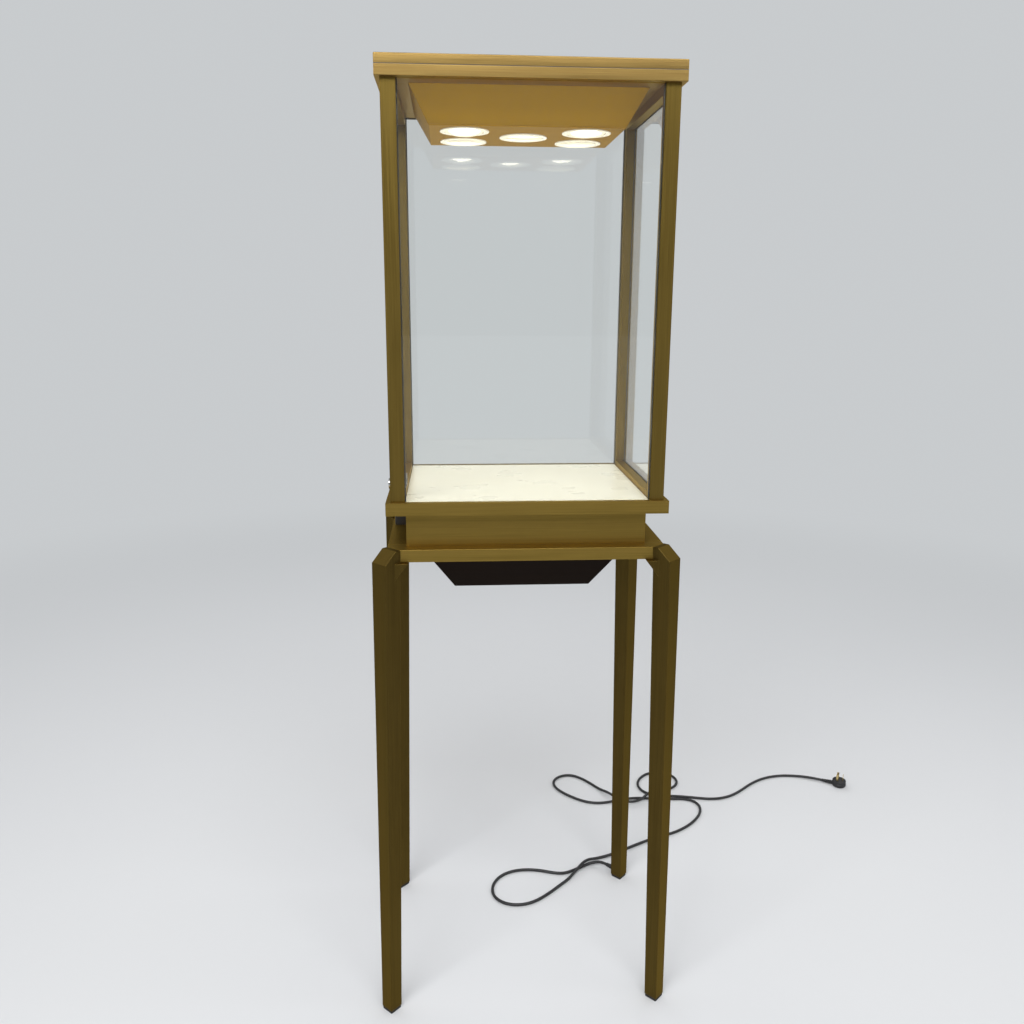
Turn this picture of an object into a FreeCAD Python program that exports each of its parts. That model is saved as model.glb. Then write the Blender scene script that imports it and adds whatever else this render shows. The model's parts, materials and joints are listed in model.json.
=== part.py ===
import FreeCAD, Part
import Sketcher

import math
import os
import re

Vector = FreeCAD.Vector
Rotation = FreeCAD.Rotation

# Driving sizes of the showcase, in millimetres and degrees.
SIZES = {
    # display case
    "case_width": 500,
    "case_depth": 380,
    "case_overhang": 8.5,
    "platform_thick": 23,
    "cap_rail_height": 17,
    "cap_rail_width": 63.5,
    "lid_thick": 16,
    "deck_thick": 4,
    "deck_play": 0.5,
    # posts and the rails at the sides
    "post_side": 25,
    "post_length": 687,
    "post_wall": 1.5,
    "post_end_block": 15,
    "low_rail_height": 10,
    "high_rail_height": 16,
    # glass
    "glass_thick": 5,
    "glass_inset": 2.5,
    "glass_play": 0.3,
    "glass_edge_gap": 0.5,
    "post_groove": 6,
    "board_groove": 5,
    "rail_groove": 4,
    # door on the left side
    "door_gap": 1.5,
    "door_lift": 0.4,
    "pivot_gap": 10,
    "door_tail": 8,
    "pivot_radius": 2.5,
    "pivot_play": 0.1,
    "pivot_seat": 10,
    "pivot_entry": 3.6,
    # lock
    "lock_setback": 13.5,
    "lock_height": 26,
    "lock_cap_radius": 9.5,
    "lock_cap_thick": 7,
    "lock_body_radius": 8,
    "lock_nut_radius": 11,
    "lock_nut_thick": 4,
    "lock_key_radius": 5,
    "lock_play": 0.2,
    "lock_post_gap": 1,
    "cam_length": 19,
    "cam_width": 8,
    "cam_thick": 2,
    "key_slot_width": 1.6,
    "key_slot_length": 7,
    "key_slot_deep": 3,
    # light hood and its spot lamps
    "hood_inset": 83.5,
    "hood_height": 58.5,
    "hood_spread": 32,
    "hood_wall": 1.5,
    "hood_floor": 2,
    "rim_radius": 42.5,
    "rim_thick": 2,
    "collar_radius": 38,
    "collar_height": 11.5,
    "lamp_radius": 33,
    "lamp_play": 0.6,
    "lamp_pivot": 5.5,
    "lamp_face": 5.5,
    "lamp_body": 12,
    "lamp_pin_radius": 1.5,
    "lamp_pin_reach": 36.5,
    "sink_radius": 22,
    "sink_height": 30,
    "lens_radius": 28,
    "lens_deep": 3,
    "tilt_right_back": 8,
    "tilt_right_front": -7,
    "tilt_left_back": 10,
    "tilt_left_front": -9,
    "tilt_middle": 5,
    # plinth between the case and the stand
    "plinth_height": 63,
    "plinth_width": 433,
    "plinth_front": 156,
    "plinth_board": 15,
    "rear_box_width": 490,
    "rear_box_back": 170,
    # stand
    "frame_top": 940,
    "frame_width": 500,
    "frame_depth": 367,
    "rail_width": 40,
    "rail_height": 23,
    "rail_wall": 2,
    "rail_plug": 45,
    "bar_reach": 150,
    "bar_width": 20,
    # legs
    "leg_corner_reach": 1.3,
    "leg_top_side": 36,
    "leg_foot_side": 27,
    "leg_splay": 16.7,
    "leg_wall": 2,
    "leg_head": 25,
    "chamfer_run": 25,
    "chamfer_drop": 21.5,
    "gusset_run": 13,
    "gusset_drop": 17,
    "gusset_width": 20,
    "glide_height": 6,
    "glide_side": 25,
    "glide_stub": 15,
    # driver housing under the stand
    "housing_width": 260,
    "housing_depth": 120,
    "housing_height": 85,
    "housing_spread": 55,
    "housing_wall": 1.5,
    "housing_lip": 12,
    "driver_length": 150,
    "driver_width": 50,
    "driver_height": 30,
    # reach of a cut past the face it opens
    "overcut": 1,
    # screws that hold the posts
    "screw_radius": 2.5,
    "screw_play": 0.1,
    "screw_head_radius": 5,
    "screw_head_height": 3,
    "screw_entry": 12,
    # power cord
    "cord_radius": 3.5,
    "cord_exit": 14,
    "grommet_radius": 6,
    "grommet_rim": 2,
    "grommet_thick": 2,
    "grommet_lift": 0.06,
    "exit_relief": 20,
    "cord_lead": 17,
    "relief_length": 28,
    "relief_sink": 5,
    "relief_start": 4.2,
    "relief_end": 6,
    "plug_radius": 19,
    "plug_height": 18,
    "blade_length": 18,
    "blade_width": 6.4,
    "blade_thick": 1.5,
    "blade_reach": 9,
}

doc = FreeCAD.newDocument("showcase")
dims = doc.addObject("Spreadsheet::Sheet", "dims")
for row, (alias, value) in enumerate(SIZES.items(), 1):
    dims.set("A%d" % row, alias)
    dims.set("B%d" % row, str(value))
    dims.setAlias("B%d" % row, alias)
doc.recompute()

NODES = {}
RIGHT, LEFT = 1, -1
BACK, FRONT = 1, -1


# Expressions are written with the bare names of the sizes.
def linked(text):
    def cell(word):
        return "dims." + word[0] if word[0] in SIZES else word[0]

    return re.sub(r"[a-z][a-z_]+", cell, str(text))


def size(alias):
    return float(dims.get(alias))


def bind(thing, **values):
    for name, text in values.items():
        thing.setExpression(name, linked(text))


def place(thing, x, y, z, rotation=None):
    if rotation is not None:
        thing.Placement = FreeCAD.Placement(Vector(), rotation)
    for axis, text in zip("xyz", (x, y, z)):
        thing.setExpression("Placement.Base." + axis, linked(text))


def block(name, x, y, z):
    box = doc.addObject("Part::Box", name)
    for side, span in zip(("Length", "Width", "Height"), (x, y, z)):
        bind(box, **{side: "(%s) - (%s)" % (span[1], span[0])})
    place(box, x[0], y[0], z[0])
    return box


# A cylinder along one axis; start is the centre of its first end.
def rod(name, radius, axis, start, length):
    turns = {
        "x": Rotation(Vector(0, 1, 0), 90),
        "y": Rotation(Vector(1, 0, 0), -90),
        "z": Rotation(),
    }
    cylinder = doc.addObject("Part::Cylinder", name)
    bind(cylinder, Radius=radius, Height=length)
    place(cylinder, *start, turns[axis])
    return cylinder


# A straight solid between two level rectangles, each ((x, x), (y, y)).
def taper(name, low, high, z, centre=("0", "0", "0"), turn=0):
    wedge = doc.addObject("Part::Wedge", name)
    bind(wedge, Xmin=low[0][0], Xmax=low[0][1], Zmin="-(%s)" % low[1][1], Zmax="-(%s)" % low[1][0])
    bind(wedge, X2min=high[0][0], X2max=high[0][1], Z2min="-(%s)" % high[1][1], Z2max="-(%s)" % high[1][0])
    bind(wedge, Ymin=z[0], Ymax=z[1])
    place(wedge, *centre, Rotation(Vector(0, 0, 1), turn) * Rotation(Vector(1, 0, 0), 90))
    return wedge


def cut(name, base, *tools):
    tool = tools[0]
    if len(tools) > 1:
        tool = fuse(name + "_tools", *tools)
    result = doc.addObject("Part::Cut", name)
    result.Base = base
    result.Tool = tool
    return result


def fuse(name, *shapes):
    result = doc.addObject("Part::MultiFuse", name)
    result.Shapes = list(shapes)
    return result


def group(name, *shapes):
    result = doc.addObject("Part::Compound", name)
    result.Links = list(shapes)
    return result


# A closed outline drawn in a plane of its own body and padded; points are pairs of expressions.
def extrusion(name, plane, points, length, symmetric=False):
    body = doc.addObject("PartDesign::Body", name)
    sketch = body.newObject("Sketcher::SketchObject", name + "_outline")
    support = [item for item in body.Origin.OriginFeatures if item.Role == plane][0]
    sketch.AttachmentSupport = [(support, "")]
    sketch.MapMode = "FlatFace"
    count = len(points)
    for index in range(count):
        start = Vector(index, index * index, 0)
        end = Vector(index + 1, (index + 1) ** 2, 0)
        sketch.addGeometry(Part.LineSegment(start, end))
    for index in range(count):
        following = (index + 1) % count
        sketch.addConstraint(Sketcher.Constraint("Coincident", index, 2, following, 1))
    for index, pair in enumerate(points):
        for kind, text in zip(("DistanceX", "DistanceY"), pair):
            number = sketch.addConstraint(Sketcher.Constraint(kind, -1, 1, index, 1, 1.0 + index))
            sketch.setExpression("Constraints[%d]" % number, linked(text))
    pad = body.newObject("PartDesign::Pad", name + "_pad")
    pad.Profile = sketch
    bind(pad, Length=length)
    if symmetric:
        pad.SideType = "Symmetric"
    body.Tip = pad
    return body


def node(label, thing):
    thing.Label = label
    NODES[label] = thing
    return thing


# The same span on the other side of the middle plane where side is negative.
def mirrored(side, low, high):
    if side > 0:
        return (low, high)
    return ("-(%s)" % high, "-(%s)" % low)


def middle(extent):
    return ("-(%s)/2" % extent, "(%s)/2" % extent)


# Levels, from the floor up
RAIL_LOW = "(frame_top - rail_height)"
PLATFORM_LOW = "(frame_top + plinth_height)"
PLATFORM_TOP = "(frame_top + plinth_height + platform_thick)"
CEILING = "(frame_top + plinth_height + platform_thick + post_length)"
CAP_TOP = "(frame_top + plinth_height + platform_thick + post_length + cap_rail_height)"
HOOD_LOW = "(frame_top + plinth_height + platform_thick + post_length - hood_height)"
HOUSING_LOW = "(frame_top - rail_height - housing_height)"

# Distances from the middle planes
POST_OUT_X = "(case_width/2 - case_overhang)"
POST_OUT_Y = "(case_depth/2 - case_overhang)"
POST_IN_X = "(case_width/2 - case_overhang - post_side)"
POST_IN_Y = "(case_depth/2 - case_overhang - post_side)"
POST_MID_X = "(case_width/2 - case_overhang - post_side/2)"
POST_MID_Y = "(case_depth/2 - case_overhang - post_side/2)"
GLASS_OUT_X = "(case_width/2 - case_overhang - glass_inset)"
GLASS_OUT_Y = "(case_depth/2 - case_overhang - glass_inset)"
GLASS_IN_X = "(case_width/2 - case_overhang - glass_inset - glass_thick)"
GLASS_IN_Y = "(case_depth/2 - case_overhang - glass_inset - glass_thick)"
PANE_REACH = "(post_groove - glass_edge_gap)"
PIVOT_X = "-(case_width/2 - case_overhang - glass_inset - glass_thick/2)"
PIVOT_Y = "(case_depth/2 - case_overhang - post_side - pivot_gap)"
LOCK_Y = "-(case_depth/2 - case_overhang - post_side - lock_setback)"
LOCK_Z = "(frame_top + plinth_height + platform_thick + lock_height)"
HOOD_WIDTH = "(case_width - 2*hood_inset)"
HOOD_DEPTH = "(case_depth - 2*hood_inset)"
# Reach of the outer lamps from the middle, as a share of the hood's width and depth
LAMP_SHARE_X = 0.3183
LAMP_SHARE_Y = 0.2629
LAMP_REACH_X = "(%s*%.4f)" % (HOOD_WIDTH, LAMP_SHARE_X)
LAMP_REACH_Y = "(%s*%.4f)" % (HOOD_DEPTH, LAMP_SHARE_Y)
LAMPS = {
    "right_back": (RIGHT, BACK),
    "right_front": (RIGHT, FRONT),
    "left_back": (LEFT, BACK),
    "left_front": (LEFT, FRONT),
    "middle": (0, 0),
}
CORNERS = {
    "front_left": (LEFT, FRONT),
    "front_right": (RIGHT, FRONT),
    "back_left": (LEFT, BACK),
    "back_right": (RIGHT, BACK),
}


# Grooves for the front and back glass in a board, open towards the pane.
def glass_groove(name, side, z):
    y = mirrored(side, GLASS_IN_Y + " - glass_play", GLASS_OUT_Y + " + glass_play")
    reach = "(%s + post_groove)" % POST_IN_X
    return block(name, ("-" + reach, reach), y, z)


# Platform: a board with a recess for the deck, two grooves, four screw holes and a pivot seat
def make_platform():
    board = block("platform_board", middle("case_width"), middle("case_depth"), (PLATFORM_LOW, PLATFORM_TOP))
    recess_x = "(%s - deck_play/2)" % POST_IN_X
    recess_y = "(%s - glass_play)" % GLASS_IN_Y
    top = PLATFORM_TOP + " + overcut"
    tools = [block("deck_recess", ("-" + recess_x, recess_x), ("-" + recess_y, recess_y),
                   (PLATFORM_TOP + " - deck_thick", top))]
    for word, side in (("front", FRONT), ("back", BACK)):
        tools.append(glass_groove("platform_groove_" + word, side, (PLATFORM_TOP + " - board_groove", top)))
    for word, (side, end) in CORNERS.items():
        centre = ("%s*(%d)" % (POST_MID_X, side), "%s*(%d)" % (POST_MID_Y, end))
        tools.append(rod("platform_hole_" + word, "screw_radius + screw_play", "z",
                         (*centre, PLATFORM_LOW + " - overcut"), "platform_thick + 2*overcut"))
        tools.append(rod("platform_sink_" + word, "screw_head_radius + screw_play", "z",
                         (*centre, PLATFORM_LOW + " - overcut"), "screw_head_height + overcut"))
    tools.append(rod("platform_pivot_seat", "pivot_radius", "z",
                     (PIVOT_X, PIVOT_Y, PLATFORM_TOP + " - pivot_seat"), "pivot_seat + overcut"))
    node("platform", cut("platform_cut", board, *tools))
    deck_x = "(%s - deck_play)" % POST_IN_X
    deck_y = "(%s - glass_play - deck_play/2)" % GLASS_IN_Y
    node("display_deck", block("deck_board", ("-" + deck_x, deck_x), ("-" + deck_y, deck_y),
                               (PLATFORM_TOP + " - deck_thick", PLATFORM_TOP)))


# Cap: four rails round the lamp space, and the lid on top of them
def make_cap():
    z = (CEILING, CAP_TOP)
    for word, side in (("front", FRONT), ("back", BACK)):
        y = mirrored(side, "case_depth/2 - cap_rail_width", "case_depth/2")
        bar = block("cap_%s_bar" % word, middle("case_width"), y, z)
        groove_z = (CEILING + " - overcut", CEILING + " + board_groove")
        tools = [glass_groove("cap_groove_" + word, side, groove_z)]
        for hand, across in (("left", LEFT), ("right", RIGHT)):
            centre = ("%s*(%d)" % (POST_MID_X, across), "%s*(%d)" % (POST_MID_Y, side))
            tools.append(rod("cap_hole_%s_%s" % (word, hand), "screw_radius + screw_play", "z",
                             (*centre, CEILING + " - overcut"), "cap_rail_height + 2*overcut"))
            tools.append(rod("cap_sink_%s_%s" % (word, hand), "screw_head_radius + screw_play", "z",
                             (*centre, CAP_TOP + " - screw_head_height"), "screw_head_height + overcut"))
        if side == BACK:
            tools.append(rod("cap_pivot_seat", "pivot_radius", "z",
                             (PIVOT_X, PIVOT_Y, CEILING + " - overcut"), "pivot_seat + overcut"))
        node("cap_%s_rail" % word, cut("cap_%s_cut" % word, bar, *tools))
    inner = "(case_depth/2 - cap_rail_width)"
    for word, side in (("left", LEFT), ("right", RIGHT)):
        x = mirrored(side, "case_width/2 - cap_rail_width", "case_width/2")
        node("cap_%s_rail" % word, block("cap_%s_bar" % word, x, ("-" + inner, inner), z))
    node("top_lid", block("lid_board", middle("case_width"), middle("case_depth"),
                          (CAP_TOP, CAP_TOP + " + lid_thick")))


# Post section, drawn for one corner: a groove for the front or back glass, and one for the side glass
def post_outline(side, end, side_groove):
    half = "post_side/2"
    near = "(post_side/2 - glass_inset - glass_thick - glass_play)"
    far = "(post_side/2 - glass_inset + glass_play)"
    floor = "(post_groove - post_side/2)"
    points = [("-" + half, "-" + half)]
    if side_groove:
        points += [(near, "-" + half), (near, floor), (far, floor), (far, "-" + half)]
    points += [(half, "-" + half), (half, half), ("-" + half, half)]
    points += [("-" + half, far), (floor, far), (floor, near), ("-" + half, near)]
    return [("(%s)*(%d)" % (x, side), "(%s)*(%d)" % (y, end)) for x, y in points]


def make_posts():
    for word, (side, end) in CORNERS.items():
        profile = extrusion("post_profile_" + word, "XY_Plane",
                            post_outline(side, end, side == RIGHT), "post_length")
        x = "%s*(%d)" % (POST_MID_X, side)
        y = "%s*(%d)" % (POST_MID_Y, end)
        place(profile, x, y, PLATFORM_TOP)
        hollow_x = mirrored(side, POST_IN_X + " + post_wall", GLASS_IN_X + " - glass_play - post_wall")
        hollow_y = mirrored(end, POST_IN_Y + " + post_wall", GLASS_IN_Y + " - glass_play - post_wall")
        tools = [
            block("post_hollow_" + word, hollow_x, hollow_y,
                  (PLATFORM_TOP + " + post_end_block", CEILING + " - post_end_block")),
            rod("post_low_hole_" + word, "screw_radius + screw_play", "z",
                (x, y, PLATFORM_TOP + " - overcut"), "screw_entry + 2*overcut"),
            rod("post_high_hole_" + word, "screw_radius + screw_play", "z",
                (x, y, CEILING + " - screw_entry - overcut"), "screw_entry + 2*overcut"),
        ]
        node("post_" + word, cut("post_cut_" + word, profile, *tools))


# Post screws: heads sunk in the platform's underside and in the cap's top
def make_screws():
    screws = []
    for word, (side, end) in CORNERS.items():
        x = "%s*(%d)" % (POST_MID_X, side)
        y = "%s*(%d)" % (POST_MID_Y, end)
        shank = rod("low_shank_" + word, "screw_radius", "z", (x, y, PLATFORM_LOW),
                    "platform_thick + screw_entry")
        head = rod("low_head_" + word, "screw_head_radius", "z", (x, y, PLATFORM_LOW), "screw_head_height")
        screws.append(fuse("low_screw_" + word, shank, head))
        shank = rod("high_shank_" + word, "screw_radius", "z", (x, y, CEILING + " - screw_entry"),
                    "cap_rail_height + screw_entry")
        head = rod("high_head_" + word, "screw_head_radius", "z", (x, y, CAP_TOP + " - screw_head_height"),
                   "screw_head_height")
        screws.append(fuse("high_screw_" + word, shank, head))
    node("post_screws", group("post_screw_set", *screws))


# Front and back panes stand in the platform's grooves and reach into the cap's
def make_front_and_back_glass():
    reach = "(%s + %s)" % (POST_IN_X, PANE_REACH)
    z = (PLATFORM_TOP + " - board_groove", CEILING + " + board_groove - glass_edge_gap")
    for word, side in (("front", FRONT), ("back", BACK)):
        y = mirrored(side, GLASS_IN_Y, GLASS_OUT_Y)
        node(word + "_glass", block(word + "_pane", ("-" + reach, reach), y, z))


# Section of a side rail with its glass groove; up is 1 where the groove is in the top face
def side_rail_outline(side, height, up):
    half = "post_side/2"
    near = "(post_side/2 - glass_inset - glass_thick - glass_play)"
    far = "(post_side/2 - glass_inset + glass_play)"
    tall = "(%s)/2" % height
    floor = "((%s)/2 - rail_groove)" % height
    points = [("-" + half, "-" + tall), (half, "-" + tall), (half, tall)]
    points += [(far, tall), (far, floor), (near, floor), (near, tall), ("-" + half, tall)]
    return [("(%s)*(%d)" % (x, side), "(%s)*(%d)" % (y, up)) for x, y in points]


def make_right_side():
    z_low = "(%s + low_rail_height/2)" % PLATFORM_TOP
    z_high = "(%s - high_rail_height/2)" % CEILING
    rails = (("bottom", "low_rail_height", 1, z_low), ("top", "high_rail_height", -1, z_high))
    for word, height, up, z in rails:
        rail = extrusion("right_%s_profile" % word, "XZ_Plane", side_rail_outline(RIGHT, height, up),
                         "2*" + POST_IN_Y, symmetric=True)
        place(rail, POST_MID_X, "0", z)
        node("right_%s_rail" % word, rail)
    reach = "(%s + %s)" % (POST_IN_Y, PANE_REACH)
    z = (PLATFORM_TOP + " + low_rail_height - rail_groove",
         CEILING + " - high_rail_height + rail_groove - glass_edge_gap")
    node("right_glass", block("right_pane", (GLASS_IN_X, GLASS_OUT_X), ("-" + reach, reach), z))


# Door: a pane between two rails that turn on pins near the back left post
def make_door():
    front = "-(%s - door_gap)" % POST_IN_Y
    back = "(%s + door_tail)" % PIVOT_Y
    long = "(%s) - (%s)" % (back, front)
    centre = "((%s) + (%s))/2" % (back, front)
    z_low = "(%s + door_lift + (low_rail_height - door_lift)/2)" % PLATFORM_TOP
    z_high = "(%s - door_lift - (high_rail_height - door_lift)/2)" % CEILING
    rails = (
        ("bottom", "low_rail_height - door_lift", 1, z_low, PLATFORM_TOP + " - overcut"),
        ("top", "high_rail_height - door_lift", -1, z_high, CEILING + " - pivot_entry - glass_edge_gap"),
    )
    for word, height, up, z, bore_low in rails:
        rail = extrusion("door_%s_profile" % word, "XZ_Plane", side_rail_outline(LEFT, height, up),
                         long, symmetric=True)
        place(rail, "-" + POST_MID_X, centre, z)
        bore = rod("door_%s_bore" % word, "pivot_radius + pivot_play", "z", (PIVOT_X, PIVOT_Y, bore_low),
                   "pivot_entry + glass_edge_gap + overcut")
        node("door_%s_rail" % word, cut("door_%s_cut" % word, rail, bore))
    pane = block("door_pane", mirrored(LEFT, GLASS_IN_X, GLASS_OUT_X), (front, back),
                 (PLATFORM_TOP + " + low_rail_height - rail_groove",
                  CEILING + " - high_rail_height + rail_groove - glass_edge_gap"))
    hole = rod("lock_hole", "lock_body_radius", "x", ("-%s - overcut" % GLASS_OUT_X, LOCK_Y, LOCK_Z),
               "glass_thick + 2*overcut")
    node("door_glass", cut("door_glass_cut", pane, hole))
    for word, low in (("bottom", PLATFORM_TOP + " - pivot_seat"), ("top", CEILING + " - pivot_entry")):
        pin = rod(word + "_pin", "pivot_radius", "z", (PIVOT_X, PIVOT_Y, low), "pivot_seat + pivot_entry")
        node("door_pivot_" + word, pin)


# Lock: a barrel clamped through the door glass, and a key plug whose cam turns behind the front post
def make_lock():
    outer = "(-%s - lock_cap_thick)" % GLASS_OUT_X
    inner = "(-%s + lock_post_gap)" % POST_IN_X
    cap = rod("lock_cap", "lock_cap_radius", "x", (outer, LOCK_Y, LOCK_Z), "lock_cap_thick")
    deep = "(%s) - (%s)" % (inner, outer)
    shell = rod("lock_shell", "lock_body_radius", "x", (outer, LOCK_Y, LOCK_Z), deep)
    nut = rod("lock_nut", "lock_nut_radius", "x", ("-" + GLASS_IN_X, LOCK_Y, LOCK_Z), "lock_nut_thick")
    bore = rod("lock_bore", "lock_key_radius + lock_play", "x", (outer + " - overcut", LOCK_Y, LOCK_Z),
               deep + " + 2*overcut")
    node("lock_barrel", cut("lock_barrel_cut", fuse("lock_barrel_solid", cap, shell, nut), bore))
    key = rod("lock_key_plug", "lock_key_radius", "x", (outer, LOCK_Y, LOCK_Z),
              deep + " + cam_thick + lock_play")
    slot = block("lock_key_slot", (outer + " - overcut", outer + " + key_slot_deep"),
                 (LOCK_Y + " - key_slot_width/2", LOCK_Y + " + key_slot_width/2"),
                 (LOCK_Z + " - key_slot_length/2", LOCK_Z + " + key_slot_length/2"))
    arm = block("lock_arm", (inner + " + lock_play", inner + " + lock_play + cam_thick"),
                (LOCK_Y + " - cam_width/2", LOCK_Y + " + cam_width/2"),
                (LOCK_Z + " - cam_width/2", LOCK_Z + " + cam_length"))
    node("lock_cam", fuse("lock_cam_solid", cut("lock_key_cut", key, slot), arm))


# Light hood: a floor with five lamp holes between four sloped panels
def make_hood():
    low = "(%s + hood_floor)" % HOOD_LOW
    rise = "(hood_spread*hood_floor/hood_height)"
    x_low = "(%s/2 + %s)" % (HOOD_WIDTH, rise)
    y_low = "(%s/2 + %s)" % (HOOD_DEPTH, rise)
    x_high = "(%s/2 + hood_spread)" % HOOD_WIDTH
    y_high = "(%s/2 + hood_spread)" % HOOD_DEPTH
    for word, side in (("front", FRONT), ("back", BACK)):
        node("hood_%s_panel" % word, taper(
            "hood_%s_sheet" % word,
            (("-" + x_low, x_low), mirrored(side, y_low + " - hood_wall", y_low)),
            (("-" + x_high, x_high), mirrored(side, y_high + " - hood_wall", y_high)),
            (low, CEILING)))
    for word, side in (("left", LEFT), ("right", RIGHT)):
        near = "(%s - hood_wall)" % y_low
        far = "(%s - hood_wall)" % y_high
        node("hood_%s_panel" % word, taper(
            "hood_%s_sheet" % word,
            (mirrored(side, x_low + " - hood_wall", x_low), ("-" + near, near)),
            (mirrored(side, x_high + " - hood_wall", x_high), ("-" + far, far)),
            (low, CEILING)))
    floor = taper("hood_floor_sheet",
                  (middle(HOOD_WIDTH), middle(HOOD_DEPTH)),
                  (("-" + x_low, x_low), ("-" + y_low, y_low)),
                  (HOOD_LOW, low))
    holes = []
    for word, (side, end) in LAMPS.items():
        centre = ("%s*(%d)" % (LAMP_REACH_X, side), "%s*(%d)" % (LAMP_REACH_Y, end))
        holes.append(rod("lamp_hole_" + word, "collar_radius", "z", (*centre, HOOD_LOW + " - overcut"),
                         "hood_floor + 2*overcut"))
    node("hood_plate", cut("hood_plate_cut", floor, *holes))


# Spot lamp: a rim with a collar, and a tilting lamp held in it by two pins
def make_lamp(word, side, end):
    x = "%s*(%d)" % (LAMP_REACH_X, side)
    y = "%s*(%d)" % (LAMP_REACH_Y, end)
    pivot_z = "(%s + lamp_pivot)" % HOOD_LOW
    rim = rod("rim_" + word, "rim_radius", "z", (x, y, HOOD_LOW + " - rim_thick"), "rim_thick")
    collar = rod("collar_" + word, "collar_radius", "z", (x, y, HOOD_LOW), "collar_height")
    bore = rod("rim_bore_" + word, "lamp_radius + lamp_play", "z",
               (x, y, HOOD_LOW + " - rim_thick - overcut"), "rim_thick + collar_height + 2*overcut")
    pin_hole = rod("pin_hole_" + word, "lamp_pin_radius + pivot_play", "x",
                   (x + " - collar_radius - overcut", y, pivot_z), "2*collar_radius + 2*overcut")
    node("lamp_rim_" + word, cut("rim_cut_" + word, fuse("rim_solid_" + word, rim, collar), bore, pin_hole))

    ball = doc.addObject("Part::Sphere", "lamp_ball_" + word)
    bind(ball, Radius="lamp_radius")
    zone = rod("lamp_zone_" + word, "lamp_radius", "z", ("0", "0", "-lamp_face"), "lamp_face + lamp_body")
    shell = doc.addObject("Part::Common", "lamp_shell_" + word)
    shell.Base = ball
    shell.Tool = zone
    sink = rod("lamp_sink_" + word, "sink_radius", "z", ("0", "0", "lamp_body - overcut"),
               "sink_height - lamp_body + overcut")
    pin = rod("lamp_pin_" + word, "lamp_pin_radius", "x", ("-lamp_pin_reach", "0", "0"), "2*lamp_pin_reach")
    lens = rod("lamp_lens_" + word, "lens_radius", "z", ("0", "0", "-lamp_face - overcut"),
               "lens_deep + overcut")
    lamp = cut("lamp_cut_" + word, fuse("lamp_solid_" + word, shell, sink, pin), lens)
    tilt = "rotation(vector(1; 0; 0); tilt_%s)" % word
    lamp.setExpression("Placement", linked("placement(vector(%s; %s; %s); %s)" % (x, y, pivot_z, tilt)))
    node("lamp_head_" + word, lamp)


# Plinth: three boards in front, and the black box behind them
def make_plinth():
    z = ("frame_top", PLATFORM_LOW)
    node("plinth_front_board", block("plinth_front_panel", middle("plinth_width"),
                                     ("-plinth_front", "plinth_board - plinth_front"), z))
    for word, side in (("left", LEFT), ("right", RIGHT)):
        x = mirrored(side, "plinth_width/2 - plinth_board", "plinth_width/2")
        y = ("plinth_board - plinth_front", "0")
        node("plinth_%s_board" % word, block("plinth_%s_panel" % word, x, y, z))
    node("rear_box", block("rear_box_solid", middle("rear_box_width"), ("0", "rear_box_back"), z))


def leg_centre(side, end):
    x = "(frame_width/2 + leg_corner_reach)*(%d)" % side
    y = "(frame_depth/2 + leg_corner_reach)*(%d)" % end
    return x, y


def leg_turn(side, end):
    return math.degrees(math.atan2(end, side))


# One leg's tapered square tube, shrunk by the wall on each side where it is the hollow.
def leg_taper(name, side, end, wall="0"):
    foot = "(leg_foot_side/2 - %s)" % wall
    head = "(leg_top_side/2 - %s)" % wall
    low = (("leg_splay - %s" % foot, "leg_splay + %s" % foot), ("-" + foot, foot))
    high = (("-" + head, head), ("-" + head, head))
    return taper(name, low, high, ("glide_height", "frame_top"), (*leg_centre(side, end), "0"),
                 leg_turn(side, end))


def leg_place(thing, side, end, reach, z, rotation):
    angle = math.radians(leg_turn(side, end))
    x, y = leg_centre(side, end)
    x = "%s + (%s)*(%.9f)" % (x, reach, math.cos(angle))
    y = "%s + (%s)*(%.9f)" % (y, reach, math.sin(angle))
    place(thing, x, y, z, Rotation(Vector(0, 0, 1), leg_turn(side, end)) * rotation)


# Gusset under a rail: full reach at the rail's underside, nothing at its tip
def make_gusset(name, side, end, turn):
    reach = "(leg_top_side/sqrt(2) + gusset_run)"
    wedge = doc.addObject("Part::Wedge", name)
    bind(wedge, Xmin="0", Xmax=reach, Zmin="-gusset_width/2", Zmax="gusset_width/2")
    bind(wedge, X2min="0", X2max="0", Z2min="-gusset_width/2", Z2max="gusset_width/2")
    bind(wedge, Ymin="0", Ymax="%s*gusset_drop/gusset_run" % reach)
    leg_place(wedge, side, end, "0", RAIL_LOW,
              Rotation(Vector(0, 0, 1), turn) * Rotation(Vector(1, 0, 0), -90))
    return wedge


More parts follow.
